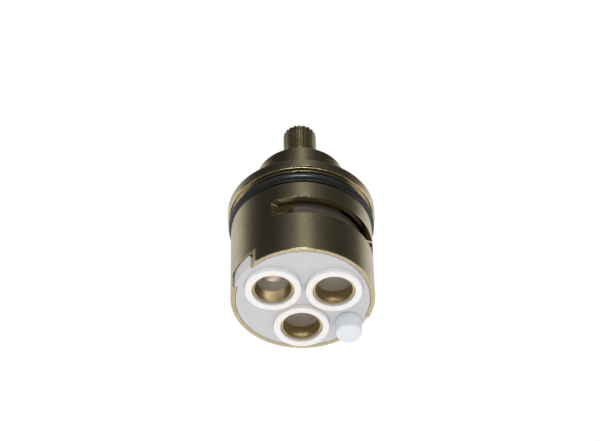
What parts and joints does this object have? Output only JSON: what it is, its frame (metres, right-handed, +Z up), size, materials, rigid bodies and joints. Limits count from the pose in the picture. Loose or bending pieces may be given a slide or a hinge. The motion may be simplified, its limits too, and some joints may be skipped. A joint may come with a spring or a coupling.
{
  "type": "diverter cartridge",
  "caption": "Brass diverter cartridge with splined stem, O-ring groove, side inlet window, ceramic discs and sealed outlets in a plastic base with a locating peg.",
  "frame": {"origin": "centre of the shell's bottom rim, where the barrel's cylinder begins", "axes": "+Z up the spindle axis towards the splined end; -Y faces the picture's camera; the wide key slot and the open outlet lie towards -X"},
  "size_m": [0.0356, 0.0356, 0.0612],
  "materials": {
    "turned_brass": "satin",
    "spindle_brass": "satin",
    "sleeve_brass": "polished",
    "o_ring_rubber": "satin",
    "seal_rubber": "satin",
    "base_plastic": "matt",
    "peg_nylon": "satin",
    "carrier_plastic": "matt",
    "slip_plastic": "satin",
    "pale_ceramic": "matt",
    "grey_ceramic": "satin",
    "steel": "satin"
  },
  "bodies": {
    "housing": {"body_shell": "turned_brass", "body_o_ring": "o_ring_rubber", "slip_washer": "slip_plastic", "stop_pin": "steel", "neck_washer": "steel", "base_cup": "base_plastic", "locating_peg": "peg_nylon", "fixed_disc": "pale_ceramic", "seal_left": "seal_rubber", "seal_right": "seal_rubber", "seal_rear": "seal_rubber", "sleeve_left": "sleeve_brass", "sleeve_right": "sleeve_brass", "sleeve_rear": "sleeve_brass"},
    "rotor": {"spindle": "spindle_brass", "spindle_o_ring_lower": "o_ring_rubber", "spindle_o_ring_upper": "o_ring_rubber", "circlip": "steel", "disc_carrier": "carrier_plastic", "moving_disc": "grey_ceramic"}
  },
  "joints": [
    {"name": "spindle_turn", "type": "hinge", "parent": "housing", "child": "rotor", "pos_m": [0, 0, 0.0205], "axis": [0, 0, 1], "range_deg": [-120, 120]}
  ]
}
